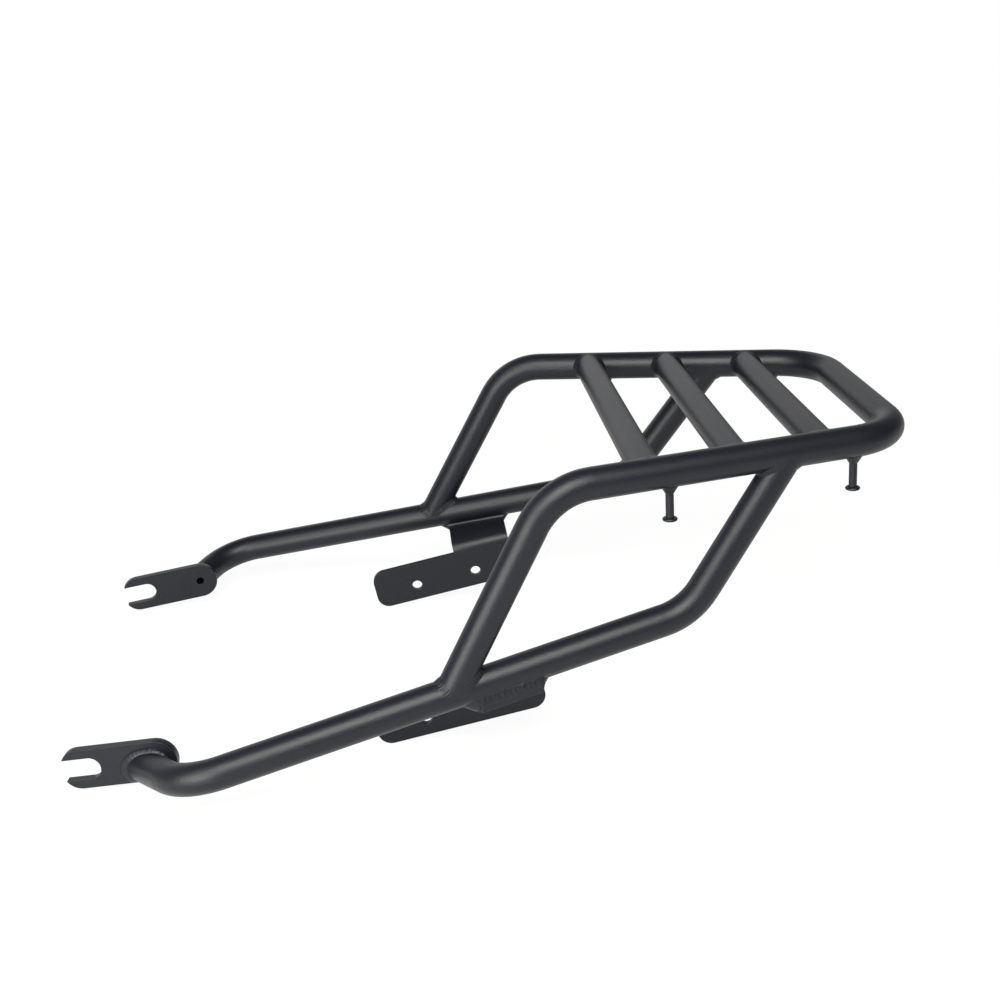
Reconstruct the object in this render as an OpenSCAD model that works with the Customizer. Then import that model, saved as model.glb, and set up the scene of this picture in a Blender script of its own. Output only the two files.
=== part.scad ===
// Welded tube luggage rack for a motorbike tail.
// Frame: +X points to the rear of the bike, +Y to its right, +Z up, and the load platform is level.
// The origin is under the middle of the rack, at the height of its lowest point.

/* [Tube] */
// outside diameter of the bent tubes
tube_d = 22; // [18:0.1:28]
// wall of every tube
tube_wall = 2; // [1.2:0.1:3]
// centre line radius of the platform and riser bends
bend_r = 46.6; // [40:0.1:56]
// centre line radius of the front bend of each lower rail
front_bend_r = 39; // [34:0.1:44]

/* [Platform] */
// rear tube centre line back from the middle of the rack
rear_x = 291.8; // [280:0.1:306]
// platform centre line above the lowest point of the rack
platform_z = 192; // [180:0.1:210]
// length from the rear tube centre line to the front bends of the platform
platform_len = 250.3; // [230:0.1:280]
// width between the tube centre lines at the front bends
platform_front_w = 321.2; // [300:0.1:340]
// width between the tube centre lines at the rear corners
platform_rear_w = 204.4; // [190:0.1:230]

/* [Crossbars] */
// outside diameter of the crossbars
bar_d = 21.3; // [16:0.1:22]
// distance from the rear tube centre line to the rear crossbar
rear_bar_x = 59.2; // [52:0.1:70]
// spacing of the three crossbars
bar_pitch = 62.6; // [50:0.1:64]

/* [Lower rails] */
// mean place of the front corners, ahead of the rear tube centre line
rail_front_x = 503.2; // [490:0.1:516]
// left corner sits this far behind the mean place and the right corner ahead of it
rail_stagger = 5.3; // [0:0.1:7]
// width between the mean places of the two front corners
rail_front_w = 416.6; // [404:0.1:428]
// front corners below the platform centre line
rail_front_drop = 163.7; // [157:0.1:169]
// corner under the riser, ahead of the rear tube centre line
rail_rear_x = 157.8; // [145:0.1:170]
// width between the rear corners of the two rails
rail_rear_w = 281.6; // [270:0.1:292]
// rear corners below the platform centre line
rail_rear_drop = 102.2; // [92:0.1:110]
// top of the riser, ahead of the rear tube centre line
riser_top_x = 84.7; // [78:0.1:96]
// foot of the platform leg on the rail, ahead of the rear tube centre line
leg_foot_x = 324.2; // [315:0.1:335]

/* [Fork tabs] */
// plate thickness of the fork tabs
tab_t = 6; // [4:0.1:8]
// height of a fork tab, also the diameter of its round rear end
tab_w = 28.9; // [26:0.1:34]
// vent centres of the tabs, on their inner faces, inboard of the front corners of the rails
tab_inset = 53.3; // [50:0.1:58]
// mean place of the vent centres, ahead of the front corners of the rails
tab_lead = 22.8; // [18:0.1:27]
// left tab sits this far behind the mean place and the right tab ahead of it
tab_stagger = 3.6; // [0:0.1:6]
// vent centres below the front corners of the rails
tab_under = 5.3; // [3:0.1:8]
// length from the vent centre to the front end
tab_len = 65.7; // [60:0.1:74]
// corner radius of the front end
tab_nose = 12.5; // [9:0.1:12.8]
// slope of the tabs, front end down
tab_pitch = 5.4; // [0:0.1:10]
// the front ends turn towards each other by this angle
tab_toe = 7; // [0:0.1:10]
// width of the open slot
slot_w = 15.5; // [10:0.1:17]
// centre of the round slot end, from the vent centre
slot_in = 46.2; // [40:0.1:50]
// vent hole into the tube end
vent_d = 6.5; // [4:0.1:7]
// tube end on the tab, ahead of the vent centre
stub_ahead = 7.6; // [5:0.1:8.5]
// tube end on the tab, below the vent centre
stub_below = 3.6; // [2:0.1:4]

/* [Side brackets] */
// plate thickness of the side brackets
plate_t = 5; // [3:0.1:6]
// distance between the inner faces of the two upright plates
plate_gap = 237; // [226:0.1:246]
// length of the upright plate
plate_len = 121; // [114:0.1:130]
// front end of the plate, ahead of the rear tube centre line and measured along its slope
plate_front = 402.5; // [397:0.1:407]
// overall height, from the shelf top to the lower edge
plate_h = 41; // [37:0.1:46]
// inside radius of the bend between shelf and plate
plate_bend = 3.6; // [2:0.1:4.5]
// length of the shelf under the tube
shelf_len = 48.1; // [40:0.1:56]
// corner cut on the shelf
shelf_chamfer = 6; // [3:0.1:9]
// radius of the plate corners
plate_corner = 10; // [6:0.1:12]
// bolt hole in the plate
hole_d = 8.5; // [6:0.1:10]
// front bolt hole, from the front end of the plate
hole_in = 35.7; // [29:0.1:39]
// spacing of the two bolt holes
hole_pitch = 51.4; // [44:0.1:56]
// bolt holes above the lower edge
hole_up = 12.7; // [10:0.1:15]

/* [Strap pegs] */
// diameter of the peg shank
peg_d = 5.6; // [4:0.1:8]
// diameter of the peg head
peg_head_d = 10.2; // [9:0.1:14]
// thickness of the peg head
peg_head_t = 2; // [1.5:0.1:3]
// length of a peg below the tube
peg_len = 23.4; // [18:0.1:32]
// front pegs, ahead of the rear tube centre line
front_peg_x = 169.8; // [150:0.1:175]
// rear pegs, ahead of the rear tube centre line
rear_peg_x = 36.8; // [36:0.1:44]

/* [Welds] */
// leg of the weld beads on the tube joints
bead = 2.4; // [1.5:0.1:3.5]
// leg of the weld ring at the fork tabs
fork_bead = 3.6; // [2.5:0.1:4.5]
// leg of the weld beads along the bracket shelves
shelf_bead = 3.6; // [2:0.1:4]
// leg of the weld cone at the strap pegs
peg_bead = 4; // [3:0.1:5]

/* [Hidden] */
$fn = 96;

left = -1;
right = 1;
steel = [0.13, 0.13, 0.14];
weld_steel = [0.2, 0.2, 0.21];
tube_r = tube_d / 2;
bar_r = bar_d / 2;
// a coped end stands this far off the tube that it is welded to
cope_gap = 0.05;
// a bend draws the tube thinner by this much, and laps this far into the straight runs beside it
bend_draw = 0.05;
bend_lap = 0.8;
// a cutting rod runs this far to each side of a joint
reach = 2.5 * tube_d;

// centre line points, with the rear tube at zero in x and the platform at zero in z
function side(p, s) = [p.x, s * p.y, p.z];
function hoop_front(s) = [-platform_len, s * platform_front_w / 2, 0];
function hoop_rear(s) = [0, s * platform_rear_w / 2, 0];
function hoop_at(x, s) = hoop_rear(s) + (hoop_front(s) - hoop_rear(s)) * x / platform_len;
function rail_mean(s) = [-rail_front_x, s * rail_front_w / 2, -rail_front_drop];
function rail_rear(s) = [-rail_rear_x, s * rail_rear_w / 2, -rail_rear_drop];
function rail_at(x, s) = rail_mean(s)
    + (rail_rear(s) - rail_mean(s)) * (rail_front_x - x) / (rail_front_x - rail_rear_x);
function rail_front(s) = rail_at(rail_front_x + s * rail_stagger, s);
function leg_foot(s) = rail_at(leg_foot_x, s);
function riser_top(s) = hoop_at(riser_top_x, s);
function tab_centre(s) = rail_mean(s) - [tab_lead + s * tab_stagger, s * tab_inset, tab_under];

// directions of the fork tab plate: along it to the rear, away from the middle, and up
tab_fore = [cos(tab_pitch) * cos(tab_toe), sin(tab_toe), sin(tab_pitch)]
    / norm([cos(tab_pitch) * cos(tab_toe), sin(tab_toe), sin(tab_pitch)]);
tab_side = cross([0, 0, 1], tab_fore) / norm(cross([0, 0, 1], tab_fore));
tab_up = cross(tab_fore, tab_side);
// where the centre line of the oblique tube end meets the outer face of the tab
function stub_foot(s) = tab_centre(s)
    + side(tab_side * tab_t - tab_fore * stub_ahead - tab_up * stub_below, s);
function stub_start(s) = stub_foot(s) - unit(rail_front(s) - stub_foot(s)) * tube_d * 0.75;

// slope and convergence of the straight part of a rail
rail_run = rail_rear(right) - rail_front(right);
rail_slope = atan2(rail_run.z, rail_run.x);
rail_yaw = atan2(rail_run.y, norm([rail_run.x, rail_run.z]));

function unit(v) = v / norm(v);
function turn_angle(a, b, c) = acos(unit(b - a) * unit(c - b));
function setback(a, b, c, r) = r * tan(turn_angle(a, b, c) / 2);

module ring(od, id) {
    difference() {
        circle(d = od);
        if (id > 0) circle(d = id);
    }
}

// stands a shape that points up onto the line from a to b
module on_line(a, b) {
    d = unit(b - a);
    translate(a) rotate([0, acos(d.z), atan2(d.y, d.x)]) children();
}

module straight(a, b, od, id) {
    on_line(a, b) linear_extrude(height = norm(b - a)) ring(od, id);
}

// bent part of a tube between the runs a-b and b-c
module elbow(a, b, c, r, od, id) {
    u = unit(b - a);
    n = unit(cross(u, unit(c - b)));
    e = -cross(n, u);
    m = b - u * setback(a, b, c, r) - e * r;
    lap = bend_lap / r * 180 / PI;
    multmatrix([[e.x, u.x, n.x, m.x], [e.y, u.y, n.y, m.y], [e.z, u.z, n.z, m.z], [0, 0, 0, 1]])
        rotate([0, 0, -lap]) rotate_extrude(angle = turn_angle(a, b, c) + 2 * lap)
        translate([r, 0]) ring(od - 2 * bend_draw, id > 0 ? id + 2 * bend_draw : 0);
}

// tube through a list of corner points with one bend radius at each inner corner
module bent_tube(p, radii, od, id) {
    last = len(p) - 1;
    for (i = [0 : last - 1]) {
        u = unit(p[i + 1] - p[i]);
        from = i == 0 ? 0 : setback(p[i - 1], p[i], p[i + 1], radii[i - 1]);
        to = i == last - 1 ? 0 : setback(p[i], p[i + 1], p[i + 2], radii[i]);
        straight(p[i] + u * from, p[i + 1] - u * to, od, id);
    }
    for (i = [1 : last - 1]) elbow(p[i - 1], p[i], p[i + 1], radii[i - 1], od, id);
}

module rod(a, b, r, extra = 0) {
    u = unit(b - a);
    on_line(a - u * extra, b) cylinder(r = r, h = norm(b - a) + 2 * extra);
}

module place() {
    translate([rear_x, 0, platform_z]) children();
}

// local frame of a fork tab: x to the rear along it, y away from the middle, z up
module at_tab(s) {
    c = tab_centre(s);
    mirror([0, s == left ? 1 : 0, 0])
        multmatrix([[tab_fore.x, tab_side.x, tab_up.x, c.x],
                    [tab_fore.y, tab_side.y, tab_up.y, abs(c.y)],
                    [tab_fore.z, tab_side.z, tab_up.z, c.z], [0, 0, 0, 1]]) children();
}

// local frame of a side bracket: x along the rail slope, y from the inner face outwards, z from the
// shelf top, which lies against the underside of the rail
module at_bracket(s) {
    top = rail_at(leg_foot_x, right);
    lift = -top.x * sin(rail_slope) + top.z * cos(rail_slope) - tube_r;
    mirror([0, s == left ? 1 : 0, 0])
        rotate([0, -rail_slope, 0])
        translate([-plate_front, plate_gap / 2, lift]) children();
}

// rail centre line across the bracket frame, outwards from the plate's inner face at x
function shelf_y(x) = rail_mean(right).y - plate_gap / 2
    + tan(rail_yaw) * (x - plate_front
    - (rail_mean(right).x * cos(rail_slope) + rail_mean(right).z * sin(rail_slope)));

// Pieces

module hoop_tube() {
    difference() {
        bent_tube([leg_foot(left), hoop_front(left), hoop_rear(left),
                   hoop_rear(right), hoop_front(right), leg_foot(right)],
                  [bend_r, bend_r, bend_r, bend_r], tube_d, tube_d - 2 * tube_wall);
        for (s = [left, right])
            rod(rail_at(leg_foot_x + reach, s), rail_at(leg_foot_x - reach, s), tube_r + cope_gap);
    }
}

module rail(s) {
    difference() {
        bent_tube([stub_start(s), rail_front(s), rail_rear(s), riser_top(s)],
                  [front_bend_r, bend_r], tube_d, tube_d - 2 * tube_wall);
        // the front end is cut slantwise to lie flat on the tab
        at_tab(s) translate([-2 * tab_w, tab_t - 2 * tab_w, -tab_w])
            cube([4 * tab_w, 2 * tab_w, 2 * tab_w]);
        // the riser is coped to the underside of the hoop
        rod(hoop_at(riser_top_x + reach, s), hoop_at(riser_top_x - reach, s), tube_r + cope_gap);
    }
}

module crossbar(x) {
    difference() {
        straight(hoop_at(x, left), hoop_at(x, right), bar_d, bar_d - 2 * tube_wall);
        for (s = [left, right])
            rod(hoop_at(x + reach, s), hoop_at(x - reach, s), tube_r + cope_gap);
    }
}

module tab_outline() {
    half = tab_w / 2;
    circle(d = tab_w);
    translate([tab_nose - tab_len, -half]) square([tab_len - tab_nose, tab_w]);
    translate([-tab_len, tab_nose - half]) square([tab_nose, tab_w - 2 * tab_nose]);
    for (k = [-1, 1]) translate([tab_nose - tab_len, k * (half - tab_nose)]) circle(r = tab_nose);
}

module fork_tab(s) {
    at_tab(s) rotate([90, 0, 0]) mirror([0, 0, 1]) linear_extrude(height = tab_t) difference() {
        tab_outline();
        translate([-slot_in, 0]) circle(d = slot_w);
        translate([-slot_in - tab_w, -slot_w / 2]) square([tab_w, slot_w]);
        circle(d = vent_d);
    }
}

module plate_outline() {
    flat_h = plate_h - plate_t - plate_bend;
    difference() {
        square([plate_len, flat_h]);
        for (c = [[0, 0], [plate_len, 0], [0, flat_h]])
            translate(c) square(2 * plate_corner, center = true);
    }
    for (c = [[0, 0, 1, 1], [plate_len, 0, -1, 1], [0, flat_h, 1, -1]])
        translate([c.x + c[2] * plate_corner, c.y + c[3] * plate_corner]) circle(r = plate_corner);
}

module side_bracket(s) {
    back = plate_len;
    front = plate_len - shelf_len;
    at_bracket(s) {
        difference() {
            translate([0, 0, -plate_h]) rotate([90, 0, 0]) mirror([0, 0, 1])
                linear_extrude(height = plate_t) plate_outline();
            for (i = [0, 1])
                translate([hole_in + i * hole_pitch, -plate_t, hole_up - plate_h])
                    rotate([-90, 0, 0]) cylinder(d = hole_d, h = 3 * plate_t);
        }
        translate([front, plate_t + plate_bend, -plate_t - plate_bend]) rotate([90, 0, 90])
            linear_extrude(height = shelf_len) difference() {
                intersection() {
                    circle(r = plate_t + plate_bend);
                    translate([-plate_t - plate_bend, 0]) square(plate_t + plate_bend);
                }
                circle(r = plate_bend);
            }
        translate([0, 0, -plate_t]) linear_extrude(height = plate_t) polygon([
            [front, plate_t + plate_bend],
            [back, plate_t + plate_bend],
            [back, shelf_y(back) + tube_r],
            [front + shelf_chamfer, shelf_y(front + shelf_chamfer) + tube_r],
            [front, shelf_y(front) + tube_r - shelf_chamfer]
        ]);
    }
}

module peg(x, s) {
    difference() {
        translate(hoop_at(x, s) - [0, 0, tube_r + peg_len]) union() {
            rotate_extrude() {
                square([peg_d / 2, peg_len + tube_r * 0.4]);
                square([peg_head_d / 2 - peg_head_t / 2, peg_head_t]);
                translate([peg_head_d / 2 - peg_head_t / 2, peg_head_t / 2]) circle(d = peg_head_t);
            }
        }
        rod(hoop_at(x + reach, s), hoop_at(x - reach, s), tube_r);
    }
}

// bead along the joint of a branch tube, whose centre line is a-b, with a main tube, centre line c-d;
// it starts this far out along the branch, as a part of the main tube's radius
module saddle_bead(a, b, branch_r, c, d, main_r, from) {
    difference() {
        intersection() {
            rod(a, b, branch_r + bead);
            rod(c, d, main_r + bead * 0.9);
        }
        rod(a, b, branch_r + cope_gap, branch_r);
        rod(c, d, main_r, branch_r);
        on_line(a, b) translate([-4 * main_r, -4 * main_r, -4 * main_r])
            cube([8 * main_r, 8 * main_r, (4 + from) * main_r]);
    }
}

module leg_weld(s) {
    saddle_bead(leg_foot(s), leg_foot(s) + (hoop_front(s) - leg_foot(s)) * 0.3, tube_r,
                rail_at(leg_foot_x + reach, s), rail_at(leg_foot_x - reach, s), tube_r, 0.3);
}

module riser_weld(s) {
    saddle_bead(riser_top(s), riser_top(s) + (rail_rear(s) - riser_top(s)) * 0.35, tube_r,
                hoop_at(riser_top_x + reach, s), hoop_at(riser_top_x - reach, s), tube_r, 0.3);
}

module bar_weld(x, s) {
    saddle_bead(hoop_at(x, s), hoop_at(x, s) * 0.6 + hoop_at(x, -s) * 0.4, bar_r,
                hoop_at(x + reach, s), hoop_at(x - reach, s), tube_r, 0.6);
}

module fork_weld(s) {
    // a collar around the slanted tube end, no wider than the tab that it lies on
    difference() {
        intersection() {
            rod(stub_start(s), rail_front(s), tube_r + fork_bead);
            at_tab(s) rotate([90, 0, 0]) mirror([0, 0, 1]) translate([0, 0, tab_t])
                linear_extrude(height = fork_bead * 0.8) tab_outline();
        }
        rod(stub_start(s), rail_front(s), tube_r, tube_r);
    }
}

module bracket_weld(s) {
    front = plate_len - shelf_len;
    start = front + shelf_chamfer * 0.7;
    at_bracket(s) difference() {
        union() {
            // a bead on each side of the tube, and a cone under it at each end of the shelf
            for (k = [-1, 1])
                translate([start, shelf_y(start) + k * tube_r * 0.65, tube_r * 0.24])
                    rotate([0, 90, rail_yaw]) cylinder(r = shelf_bead, h = plate_len - start - 0.5);
            for (e = [[front, 1], [plate_len, 0.6]])
                translate([e.x, shelf_y(e.x), -plate_t * 0.9])
                    cylinder(r1 = shelf_bead * 0.4 * e.y, r2 = shelf_bead * 2.5 * e.y,
                             h = plate_t * 0.9 + shelf_bead * 0.85);
        }
        translate([front - tube_d, shelf_y(front - tube_d), tube_r]) rotate([0, 90, rail_yaw])
            cylinder(r = tube_r, h = shelf_len + 2 * tube_d);
        translate([front, 0, -plate_t]) cube([shelf_len, plate_len, plate_t]);
    }
}

module peg_weld(x, s) {
    difference() {
        translate(hoop_at(x, s) - [0, 0, tube_r + peg_bead])
            cylinder(r1 = peg_d / 2 + 0.3, r2 = peg_d / 2 + peg_bead, h = peg_bead * 1.5);
        rod(hoop_at(x + reach, s), hoop_at(x - reach, s), tube_r);
        translate(hoop_at(x, s) - [0, 0, tube_r + peg_len])
            cylinder(d = peg_d, h = peg_len + tube_r / 2);
    }
}

front_bar_x = rear_bar_x + 2 * bar_pitch;
middle_bar_x = rear_bar_x + bar_pitch;

color(steel) place() hoop_tube();
color(steel) place() rail(left);  // left_rail
color(steel) place() rail(right);  // right_rail
color(steel) place() crossbar(front_bar_x);  // front_crossbar
color(steel) place() crossbar(middle_bar_x);  // middle_crossbar
color(steel) place() crossbar(rear_bar_x);  // rear_crossbar
color(steel) place() fork_tab(left);  // left_fork_tab
color(steel) place() fork_tab(right);  // right_fork_tab
color(steel) place() side_bracket(left);  // left_side_bracket
color(steel) place() side_bracket(right);  // right_side_bracket
color(steel) place() peg(front_peg_x, left);  // left_front_peg
color(steel) place() peg(front_peg_x, right);  // right_front_peg
color(steel) place() peg(rear_peg_x, left);  // left_rear_peg
color(steel) place() peg(rear_peg_x, right);  // right_rear_peg
color(weld_steel) place() leg_weld(left);  // left_leg_weld
color(weld_steel) place() leg_weld(right);  // right_leg_weld
color(weld_steel) place() riser_weld(left);  // left_riser_weld
color(weld_steel) place() riser_weld(right);  // right_riser_weld
color(weld_steel) place() bar_weld(front_bar_x, left);  // left_front_bar_weld
color(weld_steel) place() bar_weld(front_bar_x, right);  // right_front_bar_weld
color(weld_steel) place() bar_weld(middle_bar_x, left);  // left_middle_bar_weld
color(weld_steel) place() bar_weld(middle_bar_x, right);  // right_middle_bar_weld
color(weld_steel) place() bar_weld(rear_bar_x, left);  // left_rear_bar_weld
color(weld_steel) place() bar_weld(rear_bar_x, right);  // right_rear_bar_weld
color(weld_steel) place() fork_weld(left);  // left_fork_weld
color(weld_steel) place() fork_weld(right);  // right_fork_weld
color(weld_steel) place() bracket_weld(left);  // left_bracket_weld
color(weld_steel) place() bracket_weld(right);  // right_bracket_weld
color(weld_steel) place() peg_weld(front_peg_x, left);  // left_front_peg_weld
color(weld_steel) place() peg_weld(front_peg_x, right);  // right_front_peg_weld
color(weld_steel) place() peg_weld(rear_peg_x, left);  // left_rear_peg_weld
color(weld_steel) place() peg_weld(rear_peg_x, right);  // right_rear_peg_weld
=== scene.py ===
"""Black powder-coated luggage rack for a motorbike tail, dressed for its picture."""

import math
import random

import bmesh
import bpy
from mathutils import Matrix, Vector


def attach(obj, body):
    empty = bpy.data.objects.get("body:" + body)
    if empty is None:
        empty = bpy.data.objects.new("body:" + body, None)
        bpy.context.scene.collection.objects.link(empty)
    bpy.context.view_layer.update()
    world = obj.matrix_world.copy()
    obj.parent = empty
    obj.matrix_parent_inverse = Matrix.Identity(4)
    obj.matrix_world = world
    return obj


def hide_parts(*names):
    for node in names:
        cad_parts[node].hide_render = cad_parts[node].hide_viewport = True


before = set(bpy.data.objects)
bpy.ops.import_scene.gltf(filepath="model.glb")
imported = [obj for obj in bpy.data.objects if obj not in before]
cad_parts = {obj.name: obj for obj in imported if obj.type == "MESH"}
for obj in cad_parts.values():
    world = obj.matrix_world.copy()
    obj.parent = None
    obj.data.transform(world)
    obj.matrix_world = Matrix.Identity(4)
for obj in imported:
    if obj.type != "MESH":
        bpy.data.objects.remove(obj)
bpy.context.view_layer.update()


# Bent tubes
# The platform hoop and the two side rails are round steel tube, bent cold round a former and cut
# to length. They carry the black powder coat of the whole rack: a slightly pebbled, half-matt skin.

TUBE_R = 0.011
# the rear tube's centre line is at this x, and the platform's centre line at this z
REAR_X = 0.2918
PLATFORM_Z = 0.192
# centre line corners of the right side, from the rear tube and the platform
HOOP_FRONT = Vector((-0.2503, 0.1606, 0.0))
HOOP_REAR = Vector((0.0, 0.1022, 0.0))
RAIL_FRONT = Vector((-0.5032, 0.2083, -0.1637))
RAIL_REAR = Vector((-0.1578, 0.1408, -0.1022))
LEG_FOOT_X = -0.3242
RISER_TOP_X = -0.0847
SIDES = (("left", -1), ("right", 1))


def on_side(point, side):
    """Point of the right half, in the rack's own frame, on this side."""
    return Vector((REAR_X + point.x, side * point.y, PLATFORM_Z + point.z))


def along(a, b, x):
    """Point at this x on the line through a and b."""
    return a.lerp(b, (x - a.x) / (b.x - a.x))


# the coat's tone runs between these two; grain and peel are noise scales per metre
COAT_BLACK = (0.0036, 0.0043, 0.0078)
COAT_BLACK_WORN = (0.0072, 0.0078, 0.0118)
COAT = {"Grain": 1000.0, "Peel": 420.0, "Peel Share": 0.35, "Roughness": 0.39,
        "Roughness Drift": 0.06}
TONE_DRIFT, TONE_SPECK = 14.0, 2600.0
COAT_IOR = 1.36
COAT_RELIEF = 0.0002


def maths_of(tree):
    """Gives a function that adds a maths node, on numbers and other outputs, to this tree."""
    def maths(operation, *values):
        n = tree.nodes.new("ShaderNodeMath")
        n.operation = operation
        for socket, value in zip(n.inputs, values):
            if isinstance(value, (int, float)):
                socket.default_value = value
            else:
                tree.links.new(value, socket)
        return n.outputs[0]
    return maths


def coat_skin_group():
    """Pebbled skin of baked powder: fine grain, broader peel, and a tone that drifts slowly."""
    group = bpy.data.node_groups.new("coat skin", "ShaderNodeTree")
    face = group.interface
    face.new_socket("Dark", in_out="INPUT", socket_type="NodeSocketColor")
    face.new_socket("Light", in_out="INPUT", socket_type="NodeSocketColor")
    for name, value in COAT.items():
        face.new_socket(name, in_out="INPUT", socket_type="NodeSocketFloat").default_value = value
    face.new_socket("Colour", in_out="OUTPUT", socket_type="NodeSocketColor")
    face.new_socket("Roughness", in_out="OUTPUT", socket_type="NodeSocketFloat")
    face.new_socket("Height", in_out="OUTPUT", socket_type="NodeSocketFloat")

    nodes, links, maths = group.nodes, group.links, maths_of(group)
    given = nodes.new("NodeGroupInput")
    made = nodes.new("NodeGroupOutput")
    place = nodes.new("ShaderNodeTexCoord")

    def noise(scale, detail):
        n = nodes.new("ShaderNodeTexNoise")
        n.inputs["Detail"].default_value = detail
        links.new(place.outputs["Object"], n.inputs["Vector"])
        if isinstance(scale, str):
            links.new(given.outputs[scale], n.inputs["Scale"])
        else:
            n.inputs["Scale"].default_value = scale
        return n.outputs["Fac"]

    grain, peel = noise("Grain", 2.0), noise("Peel", 1.0)
    drift, speck = noise(TONE_DRIFT, 3.0), noise(TONE_SPECK, 0.0)
    height = nodes.new("ShaderNodeMix")
    links.new(given.outputs["Peel Share"], height.inputs["Factor"])
    links.new(grain, height.inputs["A"])
    links.new(peel, height.inputs["B"])
    links.new(height.outputs["Result"], made.inputs["Height"])

    tone = maths("ADD", maths("MULTIPLY", drift, 0.6), maths("MULTIPLY", speck, 0.4))
    colour = nodes.new("ShaderNodeMix")
    colour.data_type = "RGBA"
    links.new(tone, colour.inputs["Factor"])
    links.new(given.outputs["Dark"], colour.inputs["A"])
    links.new(given.outputs["Light"], colour.inputs["B"])
    links.new(colour.outputs["Result"], made.inputs["Colour"])

    swing = maths("ADD", drift, -0.5)
    links.new(maths("MULTIPLY_ADD", swing, given.outputs["Roughness Drift"],
                    given.outputs["Roughness"]), made.inputs["Roughness"])
    return group


COAT_SKIN = coat_skin_group()


def powder_coat(name):
    """Material of one group of coated pieces."""
    material = bpy.data.materials.new(name)
    material.use_nodes = True
    nodes, links = material.node_tree.nodes, material.node_tree.links
    paint = nodes["Principled BSDF"]
    paint.inputs["IOR"].default_value = COAT_IOR
    skin = nodes.new("ShaderNodeGroup")
    skin.node_tree = COAT_SKIN
    skin.inputs["Dark"].default_value = (*COAT_BLACK, 1)
    skin.inputs["Light"].default_value = (*COAT_BLACK_WORN, 1)
    for socket, value in COAT.items():
        skin.inputs[socket].default_value = value
    bump = nodes.new("ShaderNodeBump")
    bump.inputs["Strength"].default_value = 1.0
    bump.inputs["Distance"].default_value = COAT_RELIEF
    links.new(skin.outputs["Height"], bump.inputs["Height"])
    links.new(bump.outputs["Normal"], paint.inputs["Normal"])
    links.new(skin.outputs["Colour"], paint.inputs["Base Color"])
    links.new(skin.outputs["Roughness"], paint.inputs["Roughness"])
    return material


def dress(node, material):
    """A solid whose shape is right keeps it and gets its finish."""
    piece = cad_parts[node]
    piece.data.materials.clear()
    piece.data.materials.append(material)
    return piece


tube_coat = powder_coat("tube powder coat")
for node in ("hoop_tube", "left_rail", "right_rail"):
    dress(node, tube_coat)


# Crossbars
# Three straight tubes, coped at both ends to sit between the sides of the hoop and carry the load.

BAR_R = 0.01065
BAR_X = {"front": -0.1844, "middle": -0.1218, "rear": -0.0592}

bar_coat = powder_coat("crossbar powder coat")
for node in ("front_crossbar", "middle_crossbar", "rear_crossbar"):
    dress(node, bar_coat)


# Fork tabs
# Flat steel plates across the front ends of the rails, cut with an open slot for a stud.

TAB_T = 0.006
TAB_HALF = 0.01445
TAB_PITCH, TAB_TOE = math.radians(5.4), math.radians(7)
# the right tab's own directions: along it to the rear, out from the bike, and up
TAB_AFT = Vector((math.cos(TAB_PITCH) * math.cos(TAB_TOE), math.sin(TAB_TOE),
                  math.sin(TAB_PITCH))).normalized()
TAB_SIDE = Vector((0, 0, 1)).cross(TAB_AFT).normalized()
TAB_UP = TAB_AFT.cross(TAB_SIDE)
# vent centres of the left and the right tab, and the corners of their rails
TAB_CENTRE = {"left": Vector((-0.5224, 0.155, -0.169)), "right": Vector((-0.5296, 0.155, -0.169))}
RAIL_CORNER_X = {"left": -0.4979, "right": -0.5085}
# where the tube's centre line meets the tab's face, from the vent
STUB_AHEAD, STUB_BELOW = 0.0076, 0.0036
EDGE_BREAK = 0.0005

tab_coat = powder_coat("fork tab powder coat")


def break_edges(piece):
    """The laser-cut edges are broken by hand before coating, and the coat rounds them further."""
    # doubled corners and split flats are made whole first, or the bevel would cut across a flat
    join = piece.modifiers.new("joined corners", "WELD")
    join.merge_threshold = 0.000005
    flat = piece.modifiers.new("whole flats", "DECIMATE")
    flat.decimate_type = "DISSOLVE"
    flat.angle_limit = math.radians(0.5)
    edge = piece.modifiers.new("broken edges", "BEVEL")
    edge.limit_method = "ANGLE"
    edge.angle_limit = math.radians(40)
    edge.width = EDGE_BREAK
    edge.segments = 3
    edge.harden_normals = True


for node in ("left_fork_tab", "right_fork_tab"):
    break_edges(dress(node, tab_coat))


# Side brackets
# Sheet steel, cut flat, drilled for two bolts and folded outwards into a shelf under the rail.

bracket_coat = powder_coat("side bracket powder coat")
for node in ("left_side_bracket", "right_side_bracket"):
    break_edges(dress(node, bracket_coat))


# Strap pegs
# Turned steel pins with a head, welded under the hoop to hold straps and nets.

peg_coat = powder_coat("strap peg powder coat")
for node in ("left_front_peg", "right_front_peg", "left_rear_peg", "right_rear_peg"):
    dress(node, peg_coat)


# Tube joint welds
# Hand-laid fillets all round the feet of the legs, the tops of the risers and the crossbar ends.
# The puddle leaves a fine ripple, and the coat runs over it into the tubes.

# steps round a bead and across its face
BEAD_STEPS, BEAD_FACE = 270, 10
# each kind of bead: its leg, how far its face is hollowed into the corner, how far it is crowned,
# and the height and pitch of its ripple
BEADS = {"leg": (0.0032, 0.35, 0.0002, 0.00028, 0.0021),
         "riser": (0.0030, 0.35, 0.0002, 0.00028, 0.0021),
         "bar": (0.0026, 0.25, 0.0001, 0.00022, 0.0021),
         "fork": (0.0034, 0.0, 0.0008, 0.00018, 0.0030)}
# a bead's toes lie this far below the tubes' skins, and its root this far inside the corner, which
# is found this far above the main tube's skin
TOE_SINK, ROOT_DEPTH, SEAT_RISE = 0.00012, 0.0009, 0.00003

weld_coat = powder_coat("weld powder coat")


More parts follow.
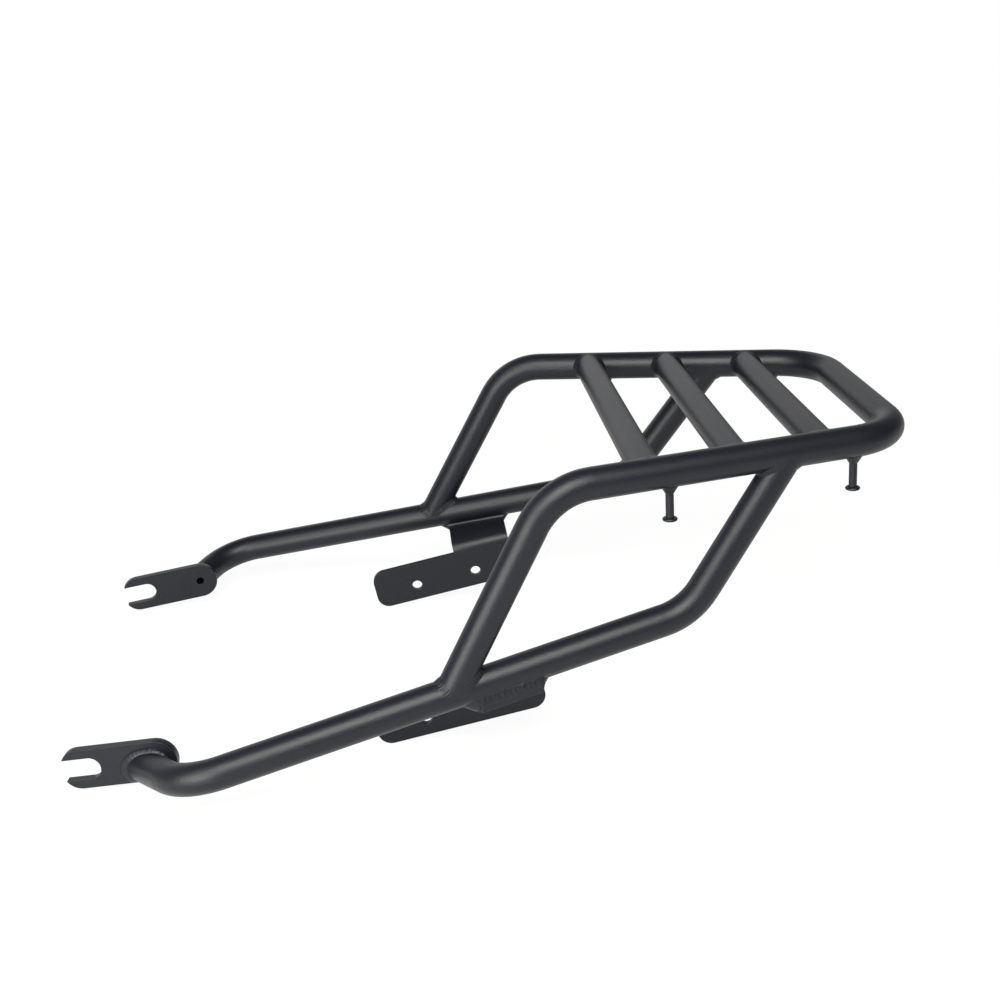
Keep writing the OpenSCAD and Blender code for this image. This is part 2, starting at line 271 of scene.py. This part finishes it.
def weld_piece(name, rings, node):
    """Closed bead through rings of points, each from one toe over the face and back underneath."""
    count = len(rings[0])
    faces = []
    for i in range(len(rings)):
        after = (i + 1) % len(rings)
        for k in range(count):
            n = (k + 1) % count
            faces.append((i * count + k, i * count + n, after * count + n, after * count + k))
    mesh = bpy.data.meshes.new(name)
    mesh.from_pydata([p for ring in rings for p in ring], [], faces)
    shell = bmesh.new()
    shell.from_mesh(mesh)
    bmesh.ops.recalc_face_normals(shell, faces=shell.faces)
    shell.to_mesh(mesh)
    shell.free()
    mesh.shade_smooth()
    mesh.materials.append(weld_coat)
    piece = bpy.data.objects.new(name, mesh)
    bpy.context.scene.collection.objects.link(piece)
    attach(piece, "root")
    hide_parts(node)
    return piece


def hand_wobble(seed, steps, waves=9):
    """Slow, closed up-and-down of a hand-laid bead, about -1 to 1."""
    draw = random.Random(seed)
    terms = [(k, draw.uniform(0.3, 1.0) / k ** 0.5, draw.uniform(0, 2 * math.pi))
             for k in range(2, waves)]
    top = sum(t[1] for t in terms)
    return [sum(a * math.sin(k * 2 * math.pi * i / steps + p) for k, a, p in terms) / top * 1.6
            for i in range(steps)]


def saddle_seats(foot, out, branch_r, base, run, main_r):
    """Points where a branch tube's skin runs into the main tube, with both skins' normals."""
    first = out.cross(run).normalized()
    second = out.cross(first)
    seats = []
    for i in range(BEAD_STEPS):
        a = 2 * math.pi * i / BEAD_STEPS
        normal = first * math.cos(a) + second * math.sin(a)
        start = foot + normal * branch_r
        w, v = start - base, out - run * out.dot(run)
        w = w - run * w.dot(run)
        half = w.dot(v)
        root = math.sqrt(max(half * half - v.dot(v) * (w.dot(w) - main_r ** 2), 0))
        seat = start + out * ((root - half) / v.dot(v))
        other = seat - base
        seats.append((seat, normal, (other - run * other.dot(run)).normalized()))
    return seats


def fillet_rings(seats, onto_branch, onto_main, bead, seed):
    """Rings of one bead along the seats; hollow 1 pulls its face right into the corner."""
    leg, hollow, crown, ripple, pitch = bead
    steps = len(seats)
    wobble = hand_wobble(seed, steps)
    rings, gone = [], 0.0
    for i, (seat, normal, other) in enumerate(seats):
        ahead, behind = seats[(i + 1) % steps][0], seats[i - 1][0]
        tangent = (ahead - behind).normalized()
        gone += (ahead - seat).length
        size = leg * (1 + 0.14 * wobble[i])
        toe_branch = onto_branch(seat + normal.cross(tangent) * size)
        toe_main = onto_main(seat + tangent.cross(other) * size)
        outward = (normal + other).normalized()
        pull = toe_main.lerp(toe_branch, 0.5).lerp(seat, hollow) + outward * crown
        ring = []
        for k in range(BEAD_FACE + 1):
            f = k / BEAD_FACE
            point = toe_main * (1 - f) ** 2 + pull * (2 * f * (1 - f)) + toe_branch * f ** 2
            wave = abs(math.sin(math.pi * (gone / pitch + 0.45 * (2 * f - 1) ** 2)))
            lift = ripple * (wave - 0.6) * (1 + 0.3 * wobble[i - 9]) * 4 * f * (1 - f)
            ring.append(point + outward * lift)
        ring.append(seat - outward * ROOT_DEPTH)
        rings.append(ring)
    return rings


def onto_tube(base, run, radius):
    """Sets a point onto a tube's skin, a hair below it."""
    def settle(point):
        rel = point - base
        rel_axis = run * rel.dot(run)
        return base + rel_axis + (rel - rel_axis).normalized() * (radius - TOE_SINK)
    return settle


def tube_weld(node, kind, foot, toward, branch_r, main_a, main_b):
    """Bead where the tube that leaves foot stands on the tube from main_a to main_b."""
    out = (toward - foot).normalized()
    run = (main_b - main_a).normalized()
    seats = saddle_seats(foot, out, branch_r, main_a, run, TUBE_R + SEAT_RISE)
    rings = fillet_rings(seats, onto_tube(foot, out, branch_r), onto_tube(main_a, run, TUBE_R),
                         BEADS[kind], node)
    weld_piece(node + "_bead", rings, node)


for word, side in SIDES:
    front, rear = on_side(HOOP_FRONT, side), on_side(HOOP_REAR, side)
    rail_a, rail_b = on_side(RAIL_FRONT, side), on_side(RAIL_REAR, side)
    foot = on_side(along(RAIL_FRONT, RAIL_REAR, LEG_FOOT_X), side)
    top = on_side(along(HOOP_REAR, HOOP_FRONT, RISER_TOP_X), side)
    tube_weld(word + "_leg_weld", "leg", foot, front, TUBE_R, rail_a, rail_b)
    tube_weld(word + "_riser_weld", "riser", top, rail_b, TUBE_R, rear, front)
    for place, x in BAR_X.items():
        seat = on_side(along(HOOP_REAR, HOOP_FRONT, x), side)
        across = on_side(along(HOOP_REAR, HOOP_FRONT, x), -side)
        tube_weld("%s_%s_bar_weld" % (word, place), "bar", seat, across, BAR_R, rear, front)


# Fork welds
# A thicker bead round the slantwise tube end, laid in one pass and kept on the face of the tab.

# its toe stays this far inside the tab's edge and lies this far below its face
TAB_MARGIN, TAB_SINK = 0.0003, 0.0001

for word, side in SIDES:
    corner = on_side(along(RAIL_FRONT, RAIL_REAR, RAIL_CORNER_X[word]), side)
    flip = Vector((1, side, 1))
    aft, outer, up = TAB_AFT * flip, TAB_SIDE * flip, TAB_UP * flip
    centre = on_side(TAB_CENTRE[word], side)
    foot = centre + outer * TAB_T - aft * STUB_AHEAD - up * STUB_BELOW
    out = (corner - foot).normalized()
    first = out.cross(aft).normalized()
    second = out.cross(first)
    seats = []
    for i in range(BEAD_STEPS):
        a = 2 * math.pi * i / BEAD_STEPS
        normal = first * math.cos(a) + second * math.sin(a)
        start = foot + normal * TUBE_R
        seats.append((start - out * ((start - foot).dot(outer) / out.dot(outer)), normal, outer))

    def onto_tab(point):
        """Keeps a toe on the tab's face and inside its edge."""
        rel = point - centre
        x, z = rel.dot(aft), rel.dot(up)
        edge = TAB_HALF - TAB_MARGIN
        if x > 0 and math.hypot(x, z) > edge:
            x, z = x * edge / math.hypot(x, z), z * edge / math.hypot(x, z)
        z = max(-edge, min(edge, z))
        return centre + aft * x + up * z + outer * (TAB_T - TAB_SINK)

    rings = fillet_rings(seats, onto_tube(foot, out, TUBE_R), onto_tab, BEADS["fork"],
                         word + "_fork")
    weld_piece(word + "_fork_weld_bead", rings, word + "_fork_weld")


# Bracket welds
# One closed run round the seat of each rail on its shelf: heavy along the sides, wrapped round
# the two ends of the shelf and tucked up under the tube.

# the plates' front ends, the clear width between the two plates, and their length
PLATE_FRONT, PLATE_GAP, PLATE_LEN = 0.4025, 0.237, 0.121
SHELF_LEN = 0.0481
# the run's ripple, its pitch, its lumps and how many of them at most, and how deep its top toe sits
SHELF_RIPPLE, SHELF_PITCH = 0.0003, 0.0036
SHELF_LUMPS, SHELF_WAVES = 0.0004, 26
SHELF_TOE_SINK = 0.0002
SHELF_STEP = 0.0005
RAIL_RUN = RAIL_REAR - RAIL_FRONT
SLOPE = math.atan2(RAIL_RUN.z, RAIL_RUN.x)
SPREAD = math.atan2(RAIL_RUN.y, math.hypot(RAIL_RUN.x, RAIL_RUN.z))


def at_bracket(x, y, z, side):
    """x from the plate's front end up the slope, y from its inner face, z from the shelf top."""
    top = along(RAIL_FRONT, RAIL_REAR, LEG_FOOT_X)
    x = x - PLATE_FRONT
    z = z - top.x * math.sin(SLOPE) + top.z * math.cos(SLOPE) - TUBE_R
    return on_side(Vector((x * math.cos(SLOPE) - z * math.sin(SLOPE), y + PLATE_GAP / 2,
                           x * math.sin(SLOPE) + z * math.cos(SLOPE))), side)


def rail_y(x):
    """Centre line of the rail over the shelf, out from the plate's inner face."""
    start = RAIL_FRONT.x * math.cos(SLOPE) + RAIL_FRONT.z * math.sin(SLOPE)
    return RAIL_FRONT.y - PLATE_GAP / 2 + math.tan(SPREAD) * (x - PLATE_FRONT - start)


# stations of the run: foot of the bead on the shelf (x, out from the rail's centre line, z), its
# top on the tube (x, degrees round from the underside), how far it bulges and how lumpy it is
SHELF_FRONT = PLATE_LEN - SHELF_LEN
SHELF_RUN = [
    (PLATE_LEN, 0.0, -0.0046, PLATE_LEN + 0.0055, 0, 0.0, 0.2),
    (PLATE_LEN, 0.0050, -0.0044, PLATE_LEN + 0.0048, 30, 0.0, 0.2),
    (PLATE_LEN - 0.0002, 0.0095, -0.0034, PLATE_LEN + 0.0020, 52, 0.0002, 0.5),
    (PLATE_LEN - 0.0030, 0.0109, -0.0004, PLATE_LEN - 0.0024, 64, 0.0003, 1.0),
    (SHELF_FRONT + 0.0080, 0.0109, -0.0004, SHELF_FRONT + 0.0070, 64, 0.0003, 1.0),
    (SHELF_FRONT + 0.0036, 0.0088, -0.0030, SHELF_FRONT - 0.0010, 54, 0.0001, 0.5),
    (SHELF_FRONT + 0.0002, 0.0050, -0.0048, SHELF_FRONT - 0.0062, 30, 0.0, 0.1),
    (SHELF_FRONT, 0.0, -0.0048, SHELF_FRONT - 0.0076, 0, 0.0, 0.1),
    (SHELF_FRONT, -0.0055, -0.0044, SHELF_FRONT - 0.0062, -26, 0.0, 0.1),
    (SHELF_FRONT - 0.0002, -0.0080, -0.0010, SHELF_FRONT - 0.0014, -38, 0.0003, 0.4),
    (SHELF_FRONT + 0.0040, -0.0078, -0.0001, SHELF_FRONT + 0.0040, -38, 0.0005, 0.5),
    (PLATE_LEN - 0.0040, -0.0078, -0.0001, PLATE_LEN - 0.0040, -38, 0.0005, 0.5),
    (PLATE_LEN + 0.0002, -0.0080, -0.0010, PLATE_LEN + 0.0014, -38, 0.0003, 0.4),
    (PLATE_LEN, -0.0055, -0.0042, PLATE_LEN + 0.0046, -28, 0.0, 0.2),
]


def shelf_stations():
    """The run in small steps: straight along the sides, curved softly round the ends."""
    steps, count = [], len(SHELF_RUN)
    for i in range(count):
        a, b, c, d = (SHELF_RUN[(i + k) % count] for k in (-1, 0, 1, 2))
        parts = max(6, int(abs(c[0] - b[0]) / SHELF_STEP))
        long_run = parts > 20
        for s in range(parts):
            f = s / parts
            if long_run:
                steps.append([q + (r - q) * f for q, r in zip(b, c)])
                continue
            steps.append([0.5 * (2 * q + (r - p) * f + (2 * p - 5 * q + 4 * r - w) * f * f
                                 + (3 * q - p - 3 * r + w) * f ** 3)
                          for p, q, r, w in zip(a, b, c, d)])
    return steps


def shelf_weld(word, side):
    """The closed run as rings from foot to top, joined to a line inside the seat."""
    stations = shelf_stations()
    count = len(stations)
    wobble = hand_wobble(word + " shelf", count, SHELF_WAVES)
    toe_r = TUBE_R - SHELF_TOE_SINK
    feet, tops = [], []
    for x, y, z, x_top, turn, *_ in stations:
        beta = math.radians(turn)
        feet.append(at_bracket(x, y + rail_y(x), z, side))
        tops.append(at_bracket(x_top, rail_y(x_top) + toe_r * math.sin(beta),
                               TUBE_R - toe_r * math.cos(beta), side))
    rings, gone = [], 0.0
    for i, (x, y, z, x_top, turn, bulge, lump) in enumerate(stations):
        n = (i + 1) % count
        run = (feet[n] + tops[n] - feet[i - 1] - tops[i - 1]).normalized()
        gone += ((feet[n] + tops[n]) - (feet[i] + tops[i])).length / 2
        middle = at_bracket((x + x_top) / 2, rail_y(x) + y * 0.5, 0.0006, side)
        outward = run.cross(tops[i] - feet[i]).normalized()
        if outward.dot((feet[i] + tops[i]) / 2 - middle) < 0:
            outward = -outward
        ring = []
        for k in range(BEAD_FACE + 1):
            f = k / BEAD_FACE
            wave = abs(math.sin(math.pi * (gone / SHELF_PITCH + 0.35 * (2 * f - 1) ** 2
                                           + 0.5 * wobble[i - 40])))
            lift = bulge + lump * (SHELF_RIPPLE * (wave - 0.6) + SHELF_LUMPS * wobble[i])
            ring.append(feet[i].lerp(tops[i], f) + outward * lift * 4 * f * (1 - f))
        ring.append(middle)
        rings.append(ring)
    weld_piece(word + "_bracket_weld_bead", rings, word + "_bracket_weld")


for word, side in SIDES:
    shelf_weld(word, side)


# Peg welds
# A small cone of weld where each peg meets the underside of the hoop.

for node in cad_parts:
    if node.endswith("_peg_weld"):
        dress(node, weld_coat)


# Studio
# A white paper sweep: floor and backdrop are white, the room on the camera's side is dim. One soft
# box hangs close in front, a broad one on the left, and one stands low there.

FLOOR_SIZE = 30.0
FLOOR_LEVEL = -0.0006
# share of the floor's look that takes light and shadow near the rack; further off it is plain white
SHADOW_SHARE = 0.1
SHADOW_NEAR, SHADOW_FAR = 0.35, 1.1
FLOOR_GLOW, FLOOR_IN_GLOSS = 1.04, 0.55
ROOM_LEVEL = 0.11
# the backdrop as the gloss shows it, and as a light
BACKDROP_WHITE, BACKDROP_LIGHT = 0.95, 0.4


def fade(tree, value, start, end, low, high):
    """low before start, high after end, and a soft step between."""
    n = tree.nodes.new("ShaderNodeMapRange")
    n.interpolation_type = "SMOOTHSTEP"
    tree.links.new(value, n.inputs["Value"])
    for name, number in (("From Min", start), ("From Max", end), ("To Min", low), ("To Max", high)):
        n.inputs[name].default_value = number
    return n.outputs["Result"]


def studio_floor():
    """White to the eye, with a trace of shadow near the rack; plain paper to the lamps."""
    mesh = bpy.data.meshes.new("studio_floor")
    half = FLOOR_SIZE / 2
    mesh.from_pydata([(-half, -half, FLOOR_LEVEL), (half, -half, FLOOR_LEVEL),
                      (half, half, FLOOR_LEVEL), (-half, half, FLOOR_LEVEL)], [], [(0, 1, 2, 3)])
    floor = bpy.data.objects.new("studio_floor", mesh)
    bpy.context.scene.collection.objects.link(floor)
    material = bpy.data.materials.new("studio floor paper")
    material.use_nodes = True
    tree = material.node_tree
    nodes, links, maths = tree.nodes, tree.links, maths_of(tree)
    paper = nodes["Principled BSDF"]
    paper.inputs["Base Color"].default_value = (0.8, 0.8, 0.8, 1)
    paper.inputs["Roughness"].default_value = 0.9
    paper.inputs["Specular IOR Level"].default_value = 0.0
    glow = nodes.new("ShaderNodeEmission")
    path = nodes.new("ShaderNodeLightPath")
    place = nodes.new("ShaderNodeTexCoord")
    far = nodes.new("ShaderNodeVectorMath")
    far.operation = "LENGTH"
    links.new(place.outputs["Object"], far.inputs[0])
    away = far.outputs["Value"]
    white = fade(tree, away, SHADOW_NEAR, SHADOW_FAR, 1 - SHADOW_SHARE, 1.0)
    links.new(fade(tree, away, SHADOW_NEAR, SHADOW_FAR, FLOOR_GLOW, 1.0), glow.inputs["Strength"])
    eye = maths("MAXIMUM", path.outputs["Is Camera Ray"], path.outputs["Is Transmission Ray"])
    gloss = maths("MULTIPLY", path.outputs["Is Glossy Ray"], FLOOR_IN_GLOSS)
    share = maths("MULTIPLY", maths("MAXIMUM", eye, gloss), white)
    mix = nodes.new("ShaderNodeMixShader")
    links.new(share, mix.inputs[0])
    links.new(paper.outputs[0], mix.inputs[1])
    links.new(glow.outputs[0], mix.inputs[2])
    links.new(mix.outputs[0], nodes["Material Output"].inputs["Surface"])
    mesh.materials.append(material)


def studio_room():
    """White to the eye all round; lights the rack, and shows in its gloss, as backdrop and room."""
    world = bpy.data.worlds.new("studio room")
    bpy.context.scene.world = world
    world.use_nodes = True
    tree = world.node_tree
    nodes, links, maths = tree.nodes, tree.links, maths_of(tree)
    sky = nodes["Background"]
    sky.inputs["Color"].default_value = (1, 1, 1, 1)
    place = nodes.new("ShaderNodeTexCoord")
    parts = nodes.new("ShaderNodeSeparateXYZ")
    links.new(place.outputs["Generated"], parts.inputs[0])
    # directions in which the backdrop lies: behind, fading to the right, 25 to 40 degrees high
    behind = fade(tree, parts.outputs["Y"], 0.25, 0.75, 0.0, 1.0)
    left = fade(tree, parts.outputs["X"], 0.0, 0.7, 1.0, 0.1)
    low = fade(tree, parts.outputs["Z"], 0.42, 0.66, 1.0, 0.0)
    backdrop = maths("MULTIPLY", maths("MULTIPLY", behind, left), low)
    path = nodes.new("ShaderNodeLightPath")
    eye = maths("MAXIMUM", path.outputs["Is Camera Ray"], path.outputs["Is Transmission Ray"])
    white = maths("MULTIPLY_ADD", path.outputs["Is Glossy Ray"],
                  BACKDROP_WHITE - BACKDROP_LIGHT, BACKDROP_LIGHT)
    lit = maths("MULTIPLY_ADD", backdrop, white, ROOM_LEVEL)
    links.new(maths("MAXIMUM", lit, eye), sky.inputs["Strength"])


BOX_AIM = Vector((0, 0, 0.1))
# name, azimuth and elevation of the box seen from there, distance, width, height, watts
SOFT_BOXES = [
    ("key_box", 3, 47, 1.35, 0.85, 0.85, 27),
    ("left_box", -42, 37, 2.2, 1.5, 1.3, 27),
    ("low_box", -38, 9, 1.05, 0.7, 0.48, 10),
]
LAMP_COLOUR = (1.0, 0.995, 0.935)


def soft_box(name, azimuth, elevation, distance, width, height, watts):
    """Azimuth 0 is on the camera's side, -90 towards the front of the bike."""
    a, e = math.radians(azimuth), math.radians(elevation)
    lamp = bpy.data.lights.new(name, "AREA")
    lamp.shape = "RECTANGLE"
    lamp.size, lamp.size_y = width, height
    lamp.energy = watts
    lamp.color = LAMP_COLOUR
    box = bpy.data.objects.new(name, lamp)
    toward = Vector((math.sin(a) * math.cos(e), -math.cos(a) * math.cos(e), math.sin(e)))
    box.location = BOX_AIM + toward * distance
    box.rotation_euler = (-toward).to_track_quat("-Z", "Y").to_euler()
    box.visible_camera = False
    bpy.context.scene.collection.objects.link(box)


studio_floor()
studio_room()
for box in SOFT_BOXES:
    soft_box(*box)


# Camera
# Stands at the rack's left side, a little above the platform, and leans by a few degrees.

CAMERA_AT = (-0.043085, -1.037892, 0.500762)
CAMERA_AZIMUTH = 3.394106
CAMERA_ELEVATION = 19.587252
CAMERA_ROLL = -3.443845
CAMERA_LENS = 52.4971


def camera():
    """Looks along its azimuth, down by its elevation, and turns about that line by its roll."""
    a, e, r = (math.radians(v) for v in (CAMERA_AZIMUTH, CAMERA_ELEVATION, CAMERA_ROLL))
    ahead = Vector((math.sin(a) * math.cos(e), math.cos(a) * math.cos(e), -math.sin(e)))
    right = ahead.cross(Vector((0, 0, 1))).normalized()
    up = right.cross(ahead)
    across = right * math.cos(r) + up * math.sin(r)
    upward = up * math.cos(r) - right * math.sin(r)
    data = bpy.data.cameras.new("camera")
    data.sensor_width = 36.0
    data.lens = CAMERA_LENS
    data.clip_start, data.clip_end = 0.01, 100
    eye = bpy.data.objects.new("camera", data)
    bpy.context.scene.collection.objects.link(eye)
    turn = Matrix((across, upward, -ahead)).transposed()
    eye.matrix_world = Matrix.Translation(CAMERA_AT) @ turn.to_4x4()
    bpy.context.scene.camera = eye


camera()
bpy.context.scene.view_settings.view_transform = "Standard"
